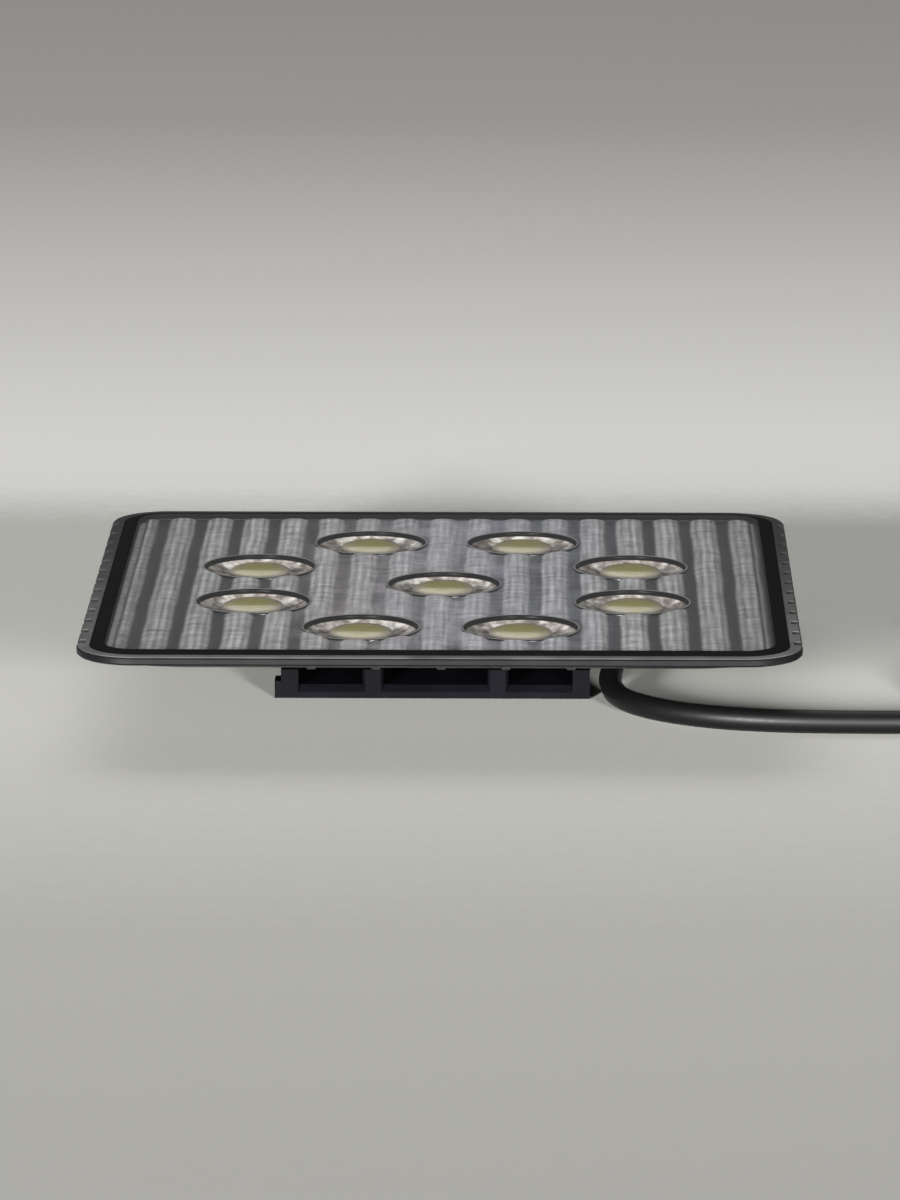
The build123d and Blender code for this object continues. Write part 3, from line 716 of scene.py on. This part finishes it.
def sleevePlaces():
    # the two cores spread a little and bend towards their terminals
    boot, sleeve = cableEnd["bootHeading"], cableEnd["sleeveHeading"]
    tailX, tailY, _ = cable["tail"][-1]
    places = []
    for side in (-1, 1):
        x = tailX + cableEnd["bootLength"] * cos(radians(boot))
        y = tailY + cableEnd["bootLength"] * sin(radians(boot))
        startX, startY = x, y
        for k, (forward, sideways, bend) in enumerate(cableEnd["coreRuns"]):
            angle = radians(boot + bend * (sleeve - boot))
            if k == 1:
                x, y = startX, startY
            x += forward * cos(angle) - side * sideways * sin(angle)
            y += forward * sin(angle) + side * sideways * cos(angle)
        places.append(headingPlace(x, y, cableEnd["sleeveHeight"], sleeve))
    return places


def turnedPiece(name, outline, places, material, standsFor):
    shape = bmesh.new()
    for place in places:
        spinProfile(shape, [(radius * mm, height * mm) for radius, height in outline],
                    cableEnd["steps"], place, closed=False)
    bmesh.ops.remove_doubles(shape, verts=shape.verts[:], dist=0.001 * mm)
    bmesh.ops.recalc_face_normals(shape, faces=shape.faces[:])
    return addPiece(name, meshFrom(shape, name), material, "bracket", [standsFor])


def makeCableEnd():
    bootPlace = headingPlace(*cable["tail"][-1], cableEnd["bootHeading"])
    boot = turnedPiece("cableBoot", cableEnd["bootOutline"], [bootPlace],
                       finishes["shrink"], "cable_boot")
    sleeves = turnedPiece("terminalSleeves", cableEnd["sleeveOutline"], sleevePlaces(),
                          finishes["sleeve"], "terminal_sleeves")
    return [boot, sleeves] + [nodes[n] for n in ("core_red", "core_black", "terminal_bullets")]


makeCable(finishes["jacket"], makeCableEnd())
print("cable laid")

studio = {
    "curveStart": 3.5,           # where the floor starts to rise behind the lamp
    "curveRadius": 0.7,
    "curveAngle": 88,            # degrees of the turn from floor to wall
    "curveSteps": 48,
    "halfWidth": 4.0,
    "nearEdge": -4.0,
    "toneFrom": -0.3, "toneTo": 0.9,     # along Y, from the front to far behind
    # painted light: a pale band behind the lamp, darker towards the front and the far back
    "tones": [(0.02, "#8F8E8A"), (0.12, "#979691"), (0.22, "#B0AFAA"), (0.35, "#B0AFAA"),
              (0.375, "#C3C2BE"), (0.46, "#BBBAB6"), (0.75, "#918F8B"), (0.96, "#8B8884")],
    "fibreSize": 3 * mm,
    "fibreShift": 0.01,
}


def paperFloor():
    # matt background paper, painted lighter in a band just behind the lamp and darker towards the
    # front and the far back, a painted pool of light
    material, tree = newMaterial("paperFloor")
    point = addNode(tree, "ShaderNodeTexCoord").outputs["Object"]
    depth = addNode(tree, "ShaderNodeSeparateXYZ", {}, {"Vector": point}).outputs["Y"]
    share = addNode(tree, "ShaderNodeMapRange", {"From Min": studio["toneFrom"],
                    "From Max": studio["toneTo"]}, {"Value": depth})
    fibre = addNode(tree, "ShaderNodeTexNoise", {"Scale": 1 / studio["fibreSize"], "Detail": 2.0},
                    {"Vector": point})
    jitter = addNode(tree, "ShaderNodeMapRange",
                     {"To Min": -studio["fibreShift"], "To Max": studio["fibreShift"]},
                     {"Value": fibre.outputs["Fac"]})
    total = addNode(tree, "ShaderNodeMath", {"operation": "ADD"},
                    {0: share.outputs["Result"], 1: jitter.outputs["Result"]})
    ramp = addNode(tree, "ShaderNodeValToRGB", {}, {"Fac": total.outputs["Value"]})
    setRamp(ramp, studio["tones"])
    shader = addNode(tree, "ShaderNodeBsdfPrincipled",
                     {"Roughness": 0.85, "Specular IOR Level": 0.1},
                     {"Base Color": ramp.outputs["Color"]})
    addNode(tree, "ShaderNodeOutputMaterial", {}, {"Surface": shader.outputs["BSDF"]})
    return material


def makeFloor():
    shape = bmesh.new()
    near = shape.verts.new((-studio["halfWidth"], studio["nearEdge"], 0))
    far = shape.verts.new((-studio["halfWidth"], studio["curveStart"], 0))
    shape.edges.new((near, far))
    bmesh.ops.spin(shape, geom=[far], cent=(0, studio["curveStart"], studio["curveRadius"]),
                   axis=(1, 0, 0), angle=radians(studio["curveAngle"]),
                   steps=studio["curveSteps"])
    across = bmesh.ops.extrude_edge_only(shape, edges=shape.edges[:])
    fresh = [v for v in across["geom"] if isinstance(v, bmesh.types.BMVert)]
    bmesh.ops.translate(shape, verts=fresh, vec=(2 * studio["halfWidth"], 0, 0))
    bmesh.ops.recalc_face_normals(shape, faces=shape.faces[:])
    floor = addPiece("paperFloor", meshFrom(shape, "paperFloor"), paperFloor())


lights = {
    "frontLeft": {"place": (-1.36, -3.38, 0.62), "aim": (0, 0, 0.01), "size": 0.5, "power": 440},
    "frontRight": {"place": (1.36, -3.38, 0.60), "aim": (0, 0, 0.01), "size": 0.5, "power": 270},
    "softTop": {"place": (-0.3, 1.5, 2.4), "aim": (0, 0, 0), "size": 3.0, "power": 34},
}
room = {"colour": "#D5D6D8", "strength": 0.2}


def makeLights():
    for name, spec in lights.items():
        data = bpy.data.lights.new(name, "AREA")
        data.shape = "DISK"
        data.size = spec["size"]
        data.energy = spec["power"]
        lamp = bpy.data.objects.new(name, data)
        scene.collection.objects.link(lamp)
        lamp.location = spec["place"]
        direction = Vector(spec["aim"]) - lamp.location
        lamp.rotation_euler = direction.to_track_quat("-Z", "Y").to_euler()
    world = bpy.data.worlds.new("softRoom")
    world.use_nodes = True
    background = world.node_tree.nodes["Background"]
    background.inputs["Color"].default_value = linearColour(room["colour"])
    background.inputs["Strength"].default_value = room["strength"]
    scene.world = world
    scene.view_settings.view_transform = "Standard"


makeFloor()
makeLights()
print("studio lit")
